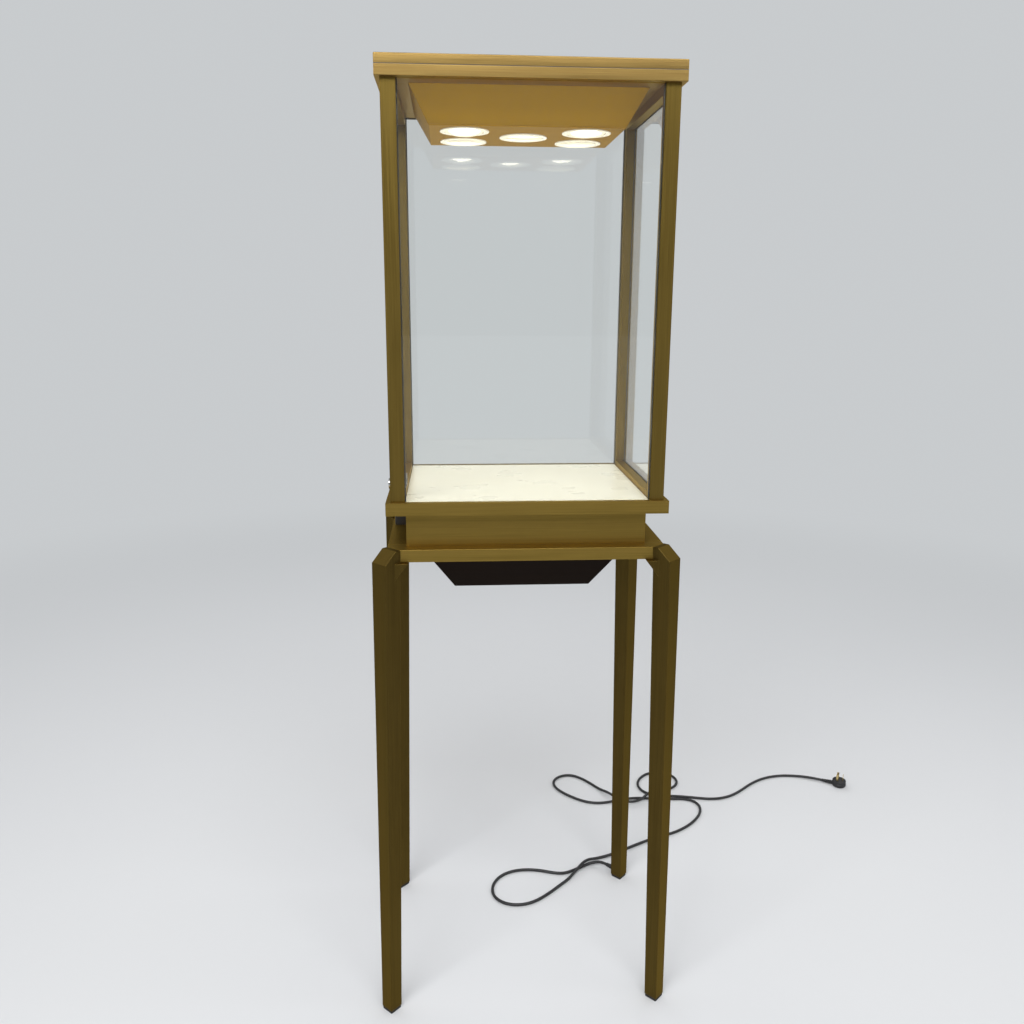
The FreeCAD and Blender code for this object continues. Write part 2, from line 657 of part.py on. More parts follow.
def make_legs():
    slope = math.degrees(math.atan2(size("chamfer_drop"), size("chamfer_run")))
    glides = []
    for word, (side, end) in CORNERS.items():
        outer = leg_taper("leg_tube_" + word, side, end)
        inner = leg_taper("leg_inside_" + word, side, end, "leg_wall")
        top = doc.addObject("Part::Box", "leg_head_" + word)
        bind(top, Length="4*leg_top_side", Width="4*leg_top_side", Height="leg_head + overcut")
        x, y = leg_centre(side, end)
        place(top, x + " - 2*leg_top_side", y + " - 2*leg_top_side", "frame_top - leg_head")
        hollow = cut("leg_hollow_" + word, inner, top)
        gussets = [make_gusset("gusset_%s_%d" % (word, turn), side, end, turn) for turn in (135, 225)]
        body = cut("leg_body_" + word, fuse("leg_solid_" + word, outer, *gussets), hollow)
        bevel = doc.addObject("Part::Box", "leg_bevel_" + word)
        bind(bevel, Length="3*chamfer_run", Width="4*leg_top_side", Height="2*chamfer_run")
        leg_place(bevel, side, end, "leg_top_side/2 - chamfer_run", "frame_top",
                  Rotation(Vector(0, 1, 0), slope))
        angle = math.radians(leg_turn(side, end))
        for axis, shift in (("x", math.sin(angle)), ("y", -math.cos(angle))):
            written = dict(bevel.ExpressionEngine)[".Placement.Base." + axis]
            moved = "%s + dims.leg_top_side*2*(%.9f)" % (written, shift)
            bevel.setExpression("Placement.Base." + axis, moved)
        tools = [bevel]
        if (side, end) == (RIGHT, BACK):
            hole = doc.addObject("Part::Cylinder", "cord_hole")
            bind(hole, Radius="grommet_radius + pivot_play", Height="leg_foot_side")
            reach = "leg_splay*(frame_top - cord_exit)/(frame_top - glide_height)"
            leg_place(hole, side, end, reach, "cord_exit", Rotation(Vector(1, 0, 0), -90))
            tools.append(hole)
        node("leg_" + word, cut("leg_cut_" + word, body, *tools))
        pad_half = "glide_side/2"
        pad_face = (("leg_splay - " + pad_half, "leg_splay + " + pad_half), ("-" + pad_half, pad_half))
        pad = taper("glide_pad_" + word, pad_face, pad_face, ("0", "glide_height"), (x, y, "0"),
                    leg_turn(side, end))
        stub_half = "(leg_foot_side/2 - leg_wall - glass_play)"
        stub_face = (("leg_splay - " + stub_half, "leg_splay + " + stub_half), ("-" + stub_half, stub_half))
        stub_top = "glide_height + glide_stub"
        if (side, end) == (RIGHT, BACK):
            stub_top = "cord_exit - grommet_radius"
        stub = taper("glide_stub_" + word, stub_face, stub_face, ("glide_height - overcut", stub_top),
                     (x, y, "0"), leg_turn(side, end))
        glides.append(fuse("glide_" + word, pad, stub))
    node("leg_glides", group("glide_set", *glides))


# Stand frame: front and back tubes run the full width and are notched for the legs
def make_frame():
    z = (RAIL_LOW, "frame_top")
    z_in = (RAIL_LOW + " + rail_wall", "frame_top - rail_wall")
    reach = "(frame_depth/2 - rail_width)"
    for word, end in (("front", FRONT), ("back", BACK)):
        y = mirrored(end, reach, "frame_depth/2")
        y_in = mirrored(end, reach + " + rail_wall", "frame_depth/2 - rail_wall")
        bar = block("frame_%s_bar" % word, middle("frame_width"), y, z)
        inside = "(frame_width/2 - rail_plug)"
        tools = [block("frame_%s_inside" % word, ("-" + inside, inside), y_in, z_in)]
        for hand, side in (("left", LEFT), ("right", RIGHT)):
            tools.append(doc.getObject("leg_tube_%s_%s" % (word, hand)))
        node("stand_%s_rail" % word, cut("frame_%s_cut" % word, bar, *tools))
    for word, side in (("left", LEFT), ("right", RIGHT)):
        x = mirrored(side, "frame_width/2 - rail_width", "frame_width/2")
        x_in = mirrored(side, "frame_width/2 - rail_width + rail_wall", "frame_width/2 - rail_wall")
        bar = block("frame_%s_bar" % word, x, ("-" + reach, reach), z)
        inside = "(%s - rail_wall)" % reach
        hollow = block("frame_%s_inside" % word, x_in, ("-" + inside, inside), z_in)
        node("stand_%s_rail" % word, cut("frame_%s_cut" % word, bar, hollow))
        bar_x = mirrored(side, "bar_reach - bar_width/2", "bar_reach + bar_width/2")
        node("cross_bar_" + word, block("cross_bar_%s_solid" % word, bar_x, ("-" + reach, reach), z))


# Driver housing: a sloped tray with a lip that hangs from the cross bars
def make_housing():
    x_low = "(housing_width/2)"
    y_low = "(housing_depth/2)"
    x_high = "(housing_width/2 + housing_spread)"
    y_high = "(housing_depth/2 + housing_spread)"
    z = (HOUSING_LOW, RAIL_LOW)
    outer = taper("housing_outer", (("-" + x_low, x_low), ("-" + y_low, y_low)),
                  (("-" + x_high, x_high), ("-" + y_high, y_high)), z)
    inner = taper("housing_inner",
                  (("-%s + housing_wall" % x_low, x_low + " - housing_wall"),
                   ("-%s + housing_wall" % y_low, y_low + " - housing_wall")),
                  (("-%s + housing_wall" % x_high, x_high + " - housing_wall"),
                   ("-%s + housing_wall" % y_high, y_high + " - housing_wall")),
                  (HOUSING_LOW + " + housing_wall", RAIL_LOW + " - housing_wall"))
    mouth_x = "(%s - housing_lip)" % x_high
    mouth_y = "(%s - housing_lip)" % y_high
    mouth = block("housing_mouth", ("-" + mouth_x, mouth_x), ("-" + mouth_y, mouth_y),
                  (RAIL_LOW + " - 2*housing_wall", RAIL_LOW + " + overcut"))
    node("driver_housing", cut("housing_cut", outer, inner, mouth))
    low = "(%s + housing_wall)" % HOUSING_LOW
    node("led_driver", block("driver_case", middle("driver_length"), middle("driver_width"),
                             (low, low + " + driver_height")))


# Power cord: the grommet's place on the back right leg and the way the cord leaves it
def cord_exit():
    angle = math.radians(leg_turn(RIGHT, BACK))
    out = Vector(math.cos(angle), math.sin(angle), 0)
    away = Vector(-math.sin(angle), math.cos(angle), 0)
    x = size("frame_width") / 2 + size("leg_corner_reach")
    y = size("frame_depth") / 2 + size("leg_corner_reach")
    share = (size("cord_exit") - size("glide_height")) / (size("frame_top") - size("glide_height"))
    half = (size("leg_foot_side") + (size("leg_top_side") - size("leg_foot_side")) * share) / 2
    centre = Vector(x, y, size("cord_exit")) + out * size("leg_splay") * (1 - share)
    return centre + away * (half + size("grommet_lift")), away


FLOOR = SIZES["cord_radius"]
OVER = 12.8
PLUG_END = 6
# Points of the cord's route after its lead from the grommet, in order
ROUTE = [
    (203, 240, 8), (176, 231, FLOOR), (150, 215, FLOOR), (128, 207, FLOOR), (104, 211, FLOOR),
    (76, 222, FLOOR), (44, 228, FLOOR), (12, 226, FLOOR), (-16, 214, FLOOR), (-37, 192, FLOOR),
    (-48, 163, FLOOR), (-46, 132, FLOOR), (-29, 108, FLOOR), (-2, 96, FLOOR), (28, 97, FLOOR),
    (57, 110, FLOOR), (86, 134, FLOOR), (114, 161, FLOOR), (141, 187, FLOOR), (165, 213, OVER),
    (190, 246, OVER), (221, 263, FLOOR), (257, 276, FLOOR), (292, 294, FLOOR), (328, 314, FLOOR),
    (367, 334, FLOOR), (408, 350, FLOOR), (448, 366, FLOOR), (484, 390, FLOOR), (513, 418, FLOOR),
    (535, 450, FLOOR), (544, 484, FLOOR), (534, 512, FLOOR), (507, 525, FLOOR), (474, 526, FLOOR),
    (440, 528, FLOOR), (405, 534, FLOOR), (370, 537, FLOOR), (335, 533, FLOOR), (300, 521, FLOOR),
    (264, 516, FLOOR), (230, 525, FLOOR), (201, 547, FLOOR), (173, 575, FLOOR), (153, 607, FLOOR),
    (151, 641, FLOOR), (173, 668, FLOOR), (206, 674, FLOOR), (234, 655, FLOOR), (257, 625, FLOOR),
    (279, 590, FLOOR), (301, 553, OVER), (320, 518, OVER), (350, 500, OVER), (383, 510, OVER),
    (405, 538, OVER), (432, 562, OVER), (466, 573, FLOOR), (499, 590, FLOOR), (514, 622, FLOOR),
    (504, 656, FLOOR), (474, 677, FLOOR), (438, 670, FLOOR), (409, 647, FLOOR), (393, 614, FLOOR),
    (395, 580, FLOOR), (415, 554, FLOOR), (446, 544, FLOOR), (480, 541, FLOOR), (515, 535, FLOOR),
    (550, 526, FLOOR), (584, 519, FLOOR), (618, 522, FLOOR), (652, 536, FLOOR), (684, 560, FLOOR),
    (716, 588, FLOOR), (750, 612, FLOOR), (788, 628, FLOOR), (828, 634, FLOOR), (866, 630, FLOOR),
    (903, 616, PLUG_END), (936, 598, PLUG_END),
]


# Straight runs joined by tangent arcs, each as large as its two runs allow.
def cord_path(points):
    share = 0.45
    edges = []
    radii = []
    last = points[0]
    for before, point, after in zip(points, points[1:], points[2:]):
        run_in = (before - point).Length
        run_out = (after - point).Length
        back = (before - point).normalize()
        ahead = (after - point).normalize()
        trim = share * min(run_in, run_out)
        turn = math.pi - back.getAngle(ahead)
        radii.append(trim / math.tan(turn / 2))
        start = point + back * trim
        end = point + ahead * trim
        inward = (back + ahead).normalize()
        bulge = point + inward * (math.hypot(radii[-1], trim) - radii[-1])
        edges.append(Part.LineSegment(last, start).toShape())
        edges.append(Part.Arc(start, bulge, end).toShape())
        last = end
    edges.append(Part.LineSegment(last, points[-1]).toShape())
    return Part.Wire(edges), radii


def make_cord():
    start, away = cord_exit()
    rim = doc.addObject("Part::Cylinder", "grommet_rim_disc")
    bind(rim, Radius="grommet_radius + grommet_rim", Height="grommet_thick")
    plug = doc.addObject("Part::Cylinder", "grommet_core")
    bind(plug, Radius="grommet_radius", Height="leg_wall")
    turn = Rotation(Vector(0, 0, 1), away)
    rim.Placement = FreeCAD.Placement(start, turn)
    plug.Placement = FreeCAD.Placement(start - away * size("leg_wall"), turn)
    sleeve = doc.addObject("Part::Cone", "grommet_sleeve")
    bind(sleeve, Radius1="grommet_radius", Radius2="relief_start", Height="grommet_thick + exit_relief")
    sleeve.Placement = FreeCAD.Placement(start, turn)
    node("cord_grommet", fuse("grommet_solid", rim, plug, sleeve))

    first = start + away * (size("grommet_thick") + size("exit_relief"))
    points = [first, first + away * size("cord_lead")] + [Vector(*point) for point in ROUTE]
    path, radii = cord_path(points)
    section = Part.Wire([Part.makeCircle(size("cord_radius"), first, away)])
    tube = path.makePipeShell([section], True, False)
    cord = doc.addObject("Part::Feature", "cord_tube")
    cord.Shape = tube
    node("power_cord", cord)
    area = math.pi * size("cord_radius") ** 2
    fill = tube.Volume / (area * path.Length)
    print("cord length %.1f mm, volume over section times length %.4f" % (path.Length, fill))
    print("cord radii, mm:", " ".join("%.0f" % radius for radius in radii))
    for word, point in (("start", first), ("second point", points[1])):
        print("cord " + word, [round(value, 1) for value in point])

    end = points[-1]
    ahead = (points[-1] - points[-2]).normalize()
    relief = doc.addObject("Part::Cone", "plug_relief")
    bind(relief, Radius1="relief_start", Radius2="relief_end", Height="relief_length + relief_sink")
    relief.Placement = FreeCAD.Placement(end, Rotation(Vector(0, 0, 1), ahead))
    centre = end + ahead * (size("relief_length") + size("plug_radius"))
    disc = doc.addObject("Part::Cylinder", "plug_disc")
    bind(disc, Radius="plug_radius", Height="plug_height")
    disc.Placement = FreeCAD.Placement(Vector(centre.x, centre.y, 0), Rotation())
    node("plug_body", fuse("plug_solid", disc, relief))
    blades = []
    for index, bearing in enumerate((0, 120, 240)):
        blade = doc.addObject("Part::Box", "plug_blade_%d" % index)
        bind(blade, Length="blade_thick", Width="blade_width", Height="blade_length")
        angle = math.atan2(ahead.y, ahead.x) + math.radians(bearing)
        side = Vector(-math.sin(angle), math.cos(angle), 0)
        out = Vector(math.cos(angle), math.sin(angle), 0)
        base = centre + out * size("blade_reach") - side * size("blade_width") / 2
        base.z = size("plug_height")
        blade.Placement = FreeCAD.Placement(base, Rotation(Vector(0, 0, 1), math.degrees(angle)))
        blades.append(blade)
    node("plug_blades", group("plug_blade_set", *blades))


make_platform()
make_cap()
make_posts()
make_screws()
make_front_and_back_glass()
make_right_side()
make_door()
make_lock()
make_hood()
for lamp_word, (lamp_side, lamp_end) in LAMPS.items():
    make_lamp(lamp_word, lamp_side, lamp_end)
make_plinth()
make_legs()
make_frame()
make_housing()
make_cord()
doc.recompute()

for thing in doc.Objects:
    if "Invalid" in thing.State or "Error" in thing.State:
        raise SystemExit("failed object: %s" % thing.Name)
for label, thing in NODES.items():
    if thing.Shape.isNull() or not thing.Shape.isValid() or not thing.Shape.Solids:
        raise SystemExit("bad shape: %s" % label)

os.makedirs("parts", exist_ok=True)
for label, thing in NODES.items():
    thing.Shape.exportStep("parts/%s.step" % label)
print("nodes", len(NODES))
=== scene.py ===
import json
import math

import bmesh
import bpy
from mathutils import Matrix, Vector


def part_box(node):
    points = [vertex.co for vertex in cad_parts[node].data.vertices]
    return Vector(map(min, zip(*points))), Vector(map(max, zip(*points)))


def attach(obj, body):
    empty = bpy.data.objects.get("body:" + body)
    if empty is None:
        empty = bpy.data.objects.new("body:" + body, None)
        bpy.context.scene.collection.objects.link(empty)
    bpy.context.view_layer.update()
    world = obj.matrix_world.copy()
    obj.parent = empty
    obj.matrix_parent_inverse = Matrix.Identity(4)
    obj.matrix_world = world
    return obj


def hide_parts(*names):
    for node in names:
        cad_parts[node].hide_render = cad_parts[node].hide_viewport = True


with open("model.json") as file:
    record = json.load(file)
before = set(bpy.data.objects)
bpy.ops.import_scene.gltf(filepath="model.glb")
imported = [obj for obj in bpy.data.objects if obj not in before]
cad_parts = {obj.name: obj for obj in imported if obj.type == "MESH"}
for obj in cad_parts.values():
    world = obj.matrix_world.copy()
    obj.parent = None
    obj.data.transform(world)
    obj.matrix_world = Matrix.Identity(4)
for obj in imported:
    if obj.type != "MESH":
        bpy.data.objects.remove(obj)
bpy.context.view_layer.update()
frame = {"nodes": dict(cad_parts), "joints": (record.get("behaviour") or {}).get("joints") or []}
nodes = frame["nodes"]

# Colours, linear
BRONZE = (0.290, 0.198, 0.044, 1)
BRONZE_DARK = (0.155, 0.100, 0.019, 1)
BRONZE_RED = (0.245, 0.158, 0.036, 1)
# Posts: the bronze of the rest, darkened as painted shade
POST_BRONZE_PAINTED_SHADE = (0.190, 0.130, 0.030, 1)
POST_DARK_PAINTED_SHADE = (0.100, 0.066, 0.013, 1)
POST_RED_PAINTED_SHADE = (0.160, 0.104, 0.023, 1)
# Legs: the same bronze, darkened further as painted shade
LEG_BRONZE_PAINTED_SHADE = (0.098, 0.066, 0.015, 1)
LEG_DARK_PAINTED_SHADE = (0.050, 0.031, 0.006, 1)
LEG_RED_PAINTED_SHADE = (0.082, 0.051, 0.011, 1)
BRONZE_EDGE = (0.95, 0.74, 0.38, 1)
CAP_BRONZE = (0.350, 0.236, 0.076, 1)
CAP_DARK = (0.180, 0.112, 0.032, 1)
CAP_RED = (0.300, 0.184, 0.058, 1)
HOOD_GOLD = (0.440, 0.240, 0.006, 1)
HOOD_DARK = (0.340, 0.172, 0.004, 1)
HOOD_WARM = (0.420, 0.220, 0.005, 1)
# Driver housing and cross bars: dark brown, darkened almost to black as painted shade
HOUSING_PAINTED_SHADE = (0.0120, 0.0058, 0.0026, 1)
HOUSING_DARK_PAINTED_SHADE = (0.0055, 0.0026, 0.0012, 1)
LAMP_WHITE = (0.86, 0.82, 0.70, 1)
DECK_CREAM = (0.74, 0.705, 0.585, 1)
DECK_SHADE = (0.735, 0.70, 0.58, 1)
PANE = (0.975, 0.988, 0.982, 1)
BLACK = (0.012, 0.012, 0.013, 1)
BLACK_GREY = (0.028, 0.028, 0.030, 1)
STEEL = (0.62, 0.61, 0.58, 1)
STEEL_DARK = (0.45, 0.44, 0.42, 1)
CONTACT_BRASS = (0.72, 0.56, 0.26, 1)
CONTACT_SHADE = (0.55, 0.42, 0.18, 1)
# Dark of the glass seals, also used as painted shade in the cap's joint
SEAL_AND_PAINTED_GAP_SHADE = (0.035, 0.034, 0.030, 1)
SEAL_AND_PAINTED_GAP_SHADE_LIGHT = (0.075, 0.072, 0.064, 1)
DRIVER_GREY = (0.55, 0.55, 0.53, 1)
DRIVER_SHADE = (0.46, 0.46, 0.44, 1)
BACKDROP = (0.58, 0.60, 0.615, 1)
FLOOR_PALE = (0.70, 0.71, 0.725, 1)
SKY = (0.95, 0.97, 1.0, 1)
LAMP_GLOW = (1.0, 0.93, 0.76, 1)

# Noise of the finishes: scale, detail and roughness
GRAIN_LINES = (1.0, 5.0, 0.62)
GRAIN_BANDS = (0.11, 2.0, 0.5)
GRAIN_PATCHES = (4.5, 3.0, 0.55)
SKIN_PEEL = (900.0, 3.0, 0.5)
SKIN_DRIFT = (14.0, 4.0, 0.5)
EVEN = (1, 1, 1)

# Span of a noise, and the values it becomes at its two ends
LINE_TONE = (0.32, 0.68, 0.0, 0.55)
BAND_TONE = (0.30, 0.70, 0.05, 0.25)
PATCH_TONE = (0.30, 0.70, 0.05, 0.30)
BAND_WARMTH = (0.45, 0.70, 0.0, 0.5)
LINE_ROUGH = (0.3, 0.7, -0.07, 0.07)
DRIFT_TONE = (0.35, 0.65, 0.0, 1.0)
DRIFT_ROUGH = (0.3, 0.7, -0.05, 0.06)

# Brushing across and along the grain, and the relief of the surfaces
GRAIN_FINE = 900.0
GRAIN_SLOW = 6.0
BRUSHED_RELIEF = 0.22
RELIEF_DEPTH = 0.0003
ENAMEL_ROUGH = 0.3
ENAMEL_RELIEF = 0.05
GLASS_IOR = 1.5

# Glow of the lamp lenses, and painted glow on the lamp rims, reflectors and deck, which are no lamps; sheen
# where it differs from the usual
ENAMEL_PAINTED_GLOW = 0.18
DECK_PAINTED_GLOW = 0.03
LENS_GLOW = 7.0
REFLECTOR_PAINTED_GLOW = 0.75
HOUSING_SHEEN = 0.05
DECK_SHEEN = 0.15

# Sockets of the colour mix node
MIX_FIRST = 6
MIX_SECOND = 7
MIX_RESULT = 2


# Shader groups

def new_group(name, inputs, outputs):
    group = bpy.data.node_groups.new(name, "ShaderNodeTree")
    for label, kind, value in inputs:
        socket = group.interface.new_socket(label, in_out="INPUT", socket_type=kind)
        socket.default_value = value
    for label, kind in outputs:
        group.interface.new_socket(label, in_out="OUTPUT", socket_type=kind)
    entry = group.nodes.new("NodeGroupInput")
    leave = group.nodes.new("NodeGroupOutput")
    return group, entry, leave


def add(tree, kind, **values):
    piece = tree.nodes.new(kind)
    for name, value in values.items():
        setattr(piece, name, value)
    return piece


def stretched_noise(tree, entry, stretch, scale, detail, roughness):
    place = add(tree, "ShaderNodeTexCoord")
    scaled = add(tree, "ShaderNodeVectorMath", operation="MULTIPLY")
    noise = add(tree, "ShaderNodeTexNoise")
    noise.inputs["Scale"].default_value = scale
    noise.inputs["Detail"].default_value = detail
    noise.inputs["Roughness"].default_value = roughness
    tree.links.new(place.outputs["Object"], scaled.inputs[0])
    if stretch is None:
        tree.links.new(entry.outputs["Stretch"], scaled.inputs[1])
    else:
        scaled.inputs[1].default_value = stretch
    tree.links.new(scaled.outputs["Vector"], noise.inputs["Vector"])
    return noise.outputs["Fac"]


def remap(tree, value, low, high, to_low, to_high):
    stretch = add(tree, "ShaderNodeMapRange")
    stretch.inputs["From Min"].default_value = low
    stretch.inputs["From Max"].default_value = high
    stretch.inputs["To Min"].default_value = to_low
    stretch.inputs["To Max"].default_value = to_high
    tree.links.new(value, stretch.inputs["Value"])
    return stretch.outputs["Result"]


# Straight brushing: fine lines, broader bands of the same direction, and slow patches of tone
def make_brushing():
    group, entry, leave = new_group(
        "brushing",
        [("Stretch", "NodeSocketVector", (1, 1, 1)), ("Colour", "NodeSocketColor", BRONZE),
         ("Dark", "NodeSocketColor", BRONZE_DARK), ("Warm", "NodeSocketColor", BRONZE_RED),
         ("Rough", "NodeSocketFloat", 0.4)],
        [("Colour", "NodeSocketColor"), ("Rough", "NodeSocketFloat"), ("Height", "NodeSocketFloat")])
    lines = stretched_noise(group, entry, None, *GRAIN_LINES)
    bands = stretched_noise(group, entry, None, *GRAIN_BANDS)
    patches = stretched_noise(group, entry, EVEN, *GRAIN_PATCHES)
    line_tone = remap(group, lines, *LINE_TONE)
    band_tone = remap(group, bands, *BAND_TONE)
    patch_tone = remap(group, patches, *PATCH_TONE)
    first = add(group, "ShaderNodeMath", operation="ADD")
    tone = add(group, "ShaderNodeMath", operation="ADD")
    group.links.new(line_tone, first.inputs[0])
    group.links.new(band_tone, first.inputs[1])
    group.links.new(first.outputs[0], tone.inputs[0])
    group.links.new(patch_tone, tone.inputs[1])
    blend = add(group, "ShaderNodeMix", data_type="RGBA")
    group.links.new(tone.outputs[0], blend.inputs["Factor"])
    group.links.new(entry.outputs["Dark"], blend.inputs[MIX_FIRST])
    group.links.new(entry.outputs["Colour"], blend.inputs[MIX_SECOND])
    tint = add(group, "ShaderNodeMix", data_type="RGBA")
    group.links.new(remap(group, bands, *BAND_WARMTH), tint.inputs["Factor"])
    group.links.new(blend.outputs[MIX_RESULT], tint.inputs[MIX_FIRST])
    group.links.new(entry.outputs["Warm"], tint.inputs[MIX_SECOND])
    rough = add(group, "ShaderNodeMath", operation="ADD")
    group.links.new(entry.outputs["Rough"], rough.inputs[0])
    group.links.new(remap(group, lines, *LINE_ROUGH), rough.inputs[1])
    group.links.new(tint.outputs[MIX_RESULT], leave.inputs["Colour"])
    group.links.new(rough.outputs[0], leave.inputs["Rough"])
    group.links.new(lines, leave.inputs["Height"])
    return group


# A moulded or painted skin: fine orange peel and a slight drift of tone
def make_moulding():
    group, entry, leave = new_group(
        "moulding",
        [("Colour", "NodeSocketColor", BLACK), ("Other", "NodeSocketColor", BLACK_GREY),
         ("Rough", "NodeSocketFloat", 0.4)],
        [("Colour", "NodeSocketColor"), ("Rough", "NodeSocketFloat"), ("Height", "NodeSocketFloat")])
    peel = stretched_noise(group, entry, EVEN, *SKIN_PEEL)
    drift = stretched_noise(group, entry, EVEN, *SKIN_DRIFT)
    tone = remap(group, drift, *DRIFT_TONE)
    blend = add(group, "ShaderNodeMix", data_type="RGBA")
    group.links.new(tone, blend.inputs["Factor"])
    group.links.new(entry.outputs["Colour"], blend.inputs[MIX_FIRST])
    group.links.new(entry.outputs["Other"], blend.inputs[MIX_SECOND])
    rough_shift = remap(group, drift, *DRIFT_ROUGH)
    rough = add(group, "ShaderNodeMath", operation="ADD")
    group.links.new(entry.outputs["Rough"], rough.inputs[0])
    group.links.new(rough_shift, rough.inputs[1])
    group.links.new(blend.outputs[MIX_RESULT], leave.inputs["Colour"])
    group.links.new(rough.outputs[0], leave.inputs["Rough"])
    group.links.new(peel, leave.inputs["Height"])
    return group


brushing = make_brushing()
moulding = make_moulding()


def new_material(name):
    material = bpy.data.materials.new(name)
    material.use_nodes = True
    tree = material.node_tree
    return material, tree, tree.nodes["Principled BSDF"]


def dress(tree, shader, group, values, relief):
    effect = add(tree, "ShaderNodeGroup", node_tree=group)
    for name, value in values.items():
        effect.inputs[name].default_value = value
    bump = add(tree, "ShaderNodeBump")
    bump.inputs["Strength"].default_value = relief
    bump.inputs["Distance"].default_value = RELIEF_DEPTH
    tree.links.new(effect.outputs["Colour"], shader.inputs["Base Color"])
    tree.links.new(effect.outputs["Rough"], shader.inputs["Roughness"])
    tree.links.new(effect.outputs["Height"], bump.inputs["Height"])
    tree.links.new(bump.outputs["Normal"], shader.inputs["Normal"])


# Brushed metal with its grain along one axis
def brushed_metal(name, along, colour, dark, rough, metallic, warm=None):
    material, tree, shader = new_material(name)
    stretch = [GRAIN_FINE, GRAIN_FINE, GRAIN_FINE]
    stretch["xyz".index(along)] = GRAIN_SLOW
    shader.inputs["Metallic"].default_value = metallic
    if warm:
        shader.inputs["Specular Tint"].default_value = BRONZE_EDGE
    values = {"Stretch": stretch, "Colour": colour, "Dark": dark, "Warm": warm or colour, "Rough": rough}
    dress(tree, shader, brushing, values, BRUSHED_RELIEF)
    return material


def moulded(name, colour, other, rough, relief=0.15):
    material, tree, shader = new_material(name)
    dress(tree, shader, moulding, {"Colour": colour, "Other": other, "Rough": rough}, relief)
    return material


# Clear pane; the lamps' light passes through it to what stands behind
def pane_glass(name):
    material, tree, shader = new_material(name)
    shader.inputs["Base Color"].default_value = PANE
    shader.inputs["Roughness"].default_value = 0.0
    shader.inputs["IOR"].default_value = GLASS_IOR
    shader.inputs["Transmission Weight"].default_value = 1.0
    leave = tree.nodes["Material Output"]
    path = add(tree, "ShaderNodeLightPath")
    lit = add(tree, "ShaderNodeMath", operation="MAXIMUM")
    clear = add(tree, "ShaderNodeBsdfTransparent")
    clear.inputs["Color"].default_value = PANE
    choose = add(tree, "ShaderNodeMixShader")
    tree.links.new(path.outputs["Is Shadow Ray"], lit.inputs[0])
    tree.links.new(path.outputs["Is Diffuse Ray"], lit.inputs[1])
    tree.links.new(lit.outputs[0], choose.inputs[0])
    tree.links.new(shader.outputs[0], choose.inputs[1])
    tree.links.new(clear.outputs[0], choose.inputs[2])
    tree.links.new(choose.outputs[0], leave.inputs["Surface"])
    return material


def glowing(name, colour, other, glow, strength):
    material = moulded(name, colour, other, ENAMEL_ROUGH, ENAMEL_RELIEF)
    shader = material.node_tree.nodes["Principled BSDF"]
    shader.inputs["Emission Color"].default_value = glow
    shader.inputs["Emission Strength"].default_value = strength
    return material


def set_sheen(material, level):
    material.node_tree.nodes["Principled BSDF"].inputs["Specular IOR Level"].default_value = level


bronze = {axis: brushed_metal("bronze_" + axis, axis, BRONZE, BRONZE_DARK, 0.38, 0.85, BRONZE_RED)
          for axis in "xy"}
# Posts: bronze darkened as painted shade
post_bronze_painted_shade = brushed_metal("post_bronze_painted_shade", "z", POST_BRONZE_PAINTED_SHADE, POST_DARK_PAINTED_SHADE, 0.38, 0.85, POST_RED_PAINTED_SHADE)
# Legs: bronze darkened further as painted shade
leg_bronze_painted_shade = brushed_metal("leg_bronze_painted_shade", "z", LEG_BRONZE_PAINTED_SHADE, LEG_DARK_PAINTED_SHADE, 0.38, 0.85, LEG_RED_PAINTED_SHADE)
cap_bronze = {axis: brushed_metal("cap_bronze_" + axis, axis, CAP_BRONZE, CAP_DARK, 0.36, 0.8, CAP_RED)
              for axis in "xy"}
hood_gold = {axis: brushed_metal("hood_gold_" + axis, axis, HOOD_GOLD, HOOD_DARK, 0.42, 0.7, HOOD_WARM)
             for axis in "xy"}
# Housing and cross bars: nearly black and without metal sheen, as painted shade
housing_bronze_painted_shade = brushed_metal("housing_bronze_painted_shade", "x", HOUSING_PAINTED_SHADE, HOUSING_DARK_PAINTED_SHADE, 0.55, 0.0)
set_sheen(housing_bronze_painted_shade, HOUSING_SHEEN)
# Lamp rims and heads glow with painted light; they are no lamps
lamp_white_painted_glow = glowing("lamp_enamel_painted_glow", LAMP_WHITE, DECK_CREAM, LAMP_GLOW, ENAMEL_PAINTED_GLOW)
# The deck glows with painted light from the lamps above
deck_cream_painted_glow = glowing("deck_acrylic_painted_glow", DECK_CREAM, DECK_SHADE, LAMP_GLOW, DECK_PAINTED_GLOW)
set_sheen(deck_cream_painted_glow, DECK_SHEEN)
lens_glow = glowing("lamp_lens", LAMP_WHITE, LAMP_WHITE, LAMP_GLOW, LENS_GLOW)
# The reflectors glow as a painted reflection of the lenses' light
reflector_painted_glow = glowing("lamp_reflector", LAMP_WHITE, DECK_CREAM, LAMP_GLOW, REFLECTOR_PAINTED_GLOW)
glass = pane_glass("pane_glass")
black_laminate = moulded("black_laminate", BLACK, BLACK_GREY, 0.42)
black_rubber = moulded("black_rubber", BLACK_GREY, BLACK, 0.75, 0.3)
cord_sheath = moulded("cord_sheath", BLACK, BLACK_GREY, 0.42, 0.1)
plug_shell = moulded("plug_shell", BLACK, BLACK_GREY, 0.5, 0.25)
lock_steel = brushed_metal("lock_steel", "x", STEEL, STEEL_DARK, 0.25, 1.0)
contact_brass = brushed_metal("contact_brass", "z", CONTACT_BRASS, CONTACT_SHADE, 0.3, 1.0)
driver_shell = moulded("driver_shell", DRIVER_GREY, DRIVER_SHADE, 0.55)
# Glass seals, and the painted shade in the cap's joint
seal_and_painted_gap_shade = moulded("glass_seal_and_painted_gap_shade", SEAL_AND_PAINTED_GAP_SHADE, SEAL_AND_PAINTED_GAP_SHADE_LIGHT, 0.5)


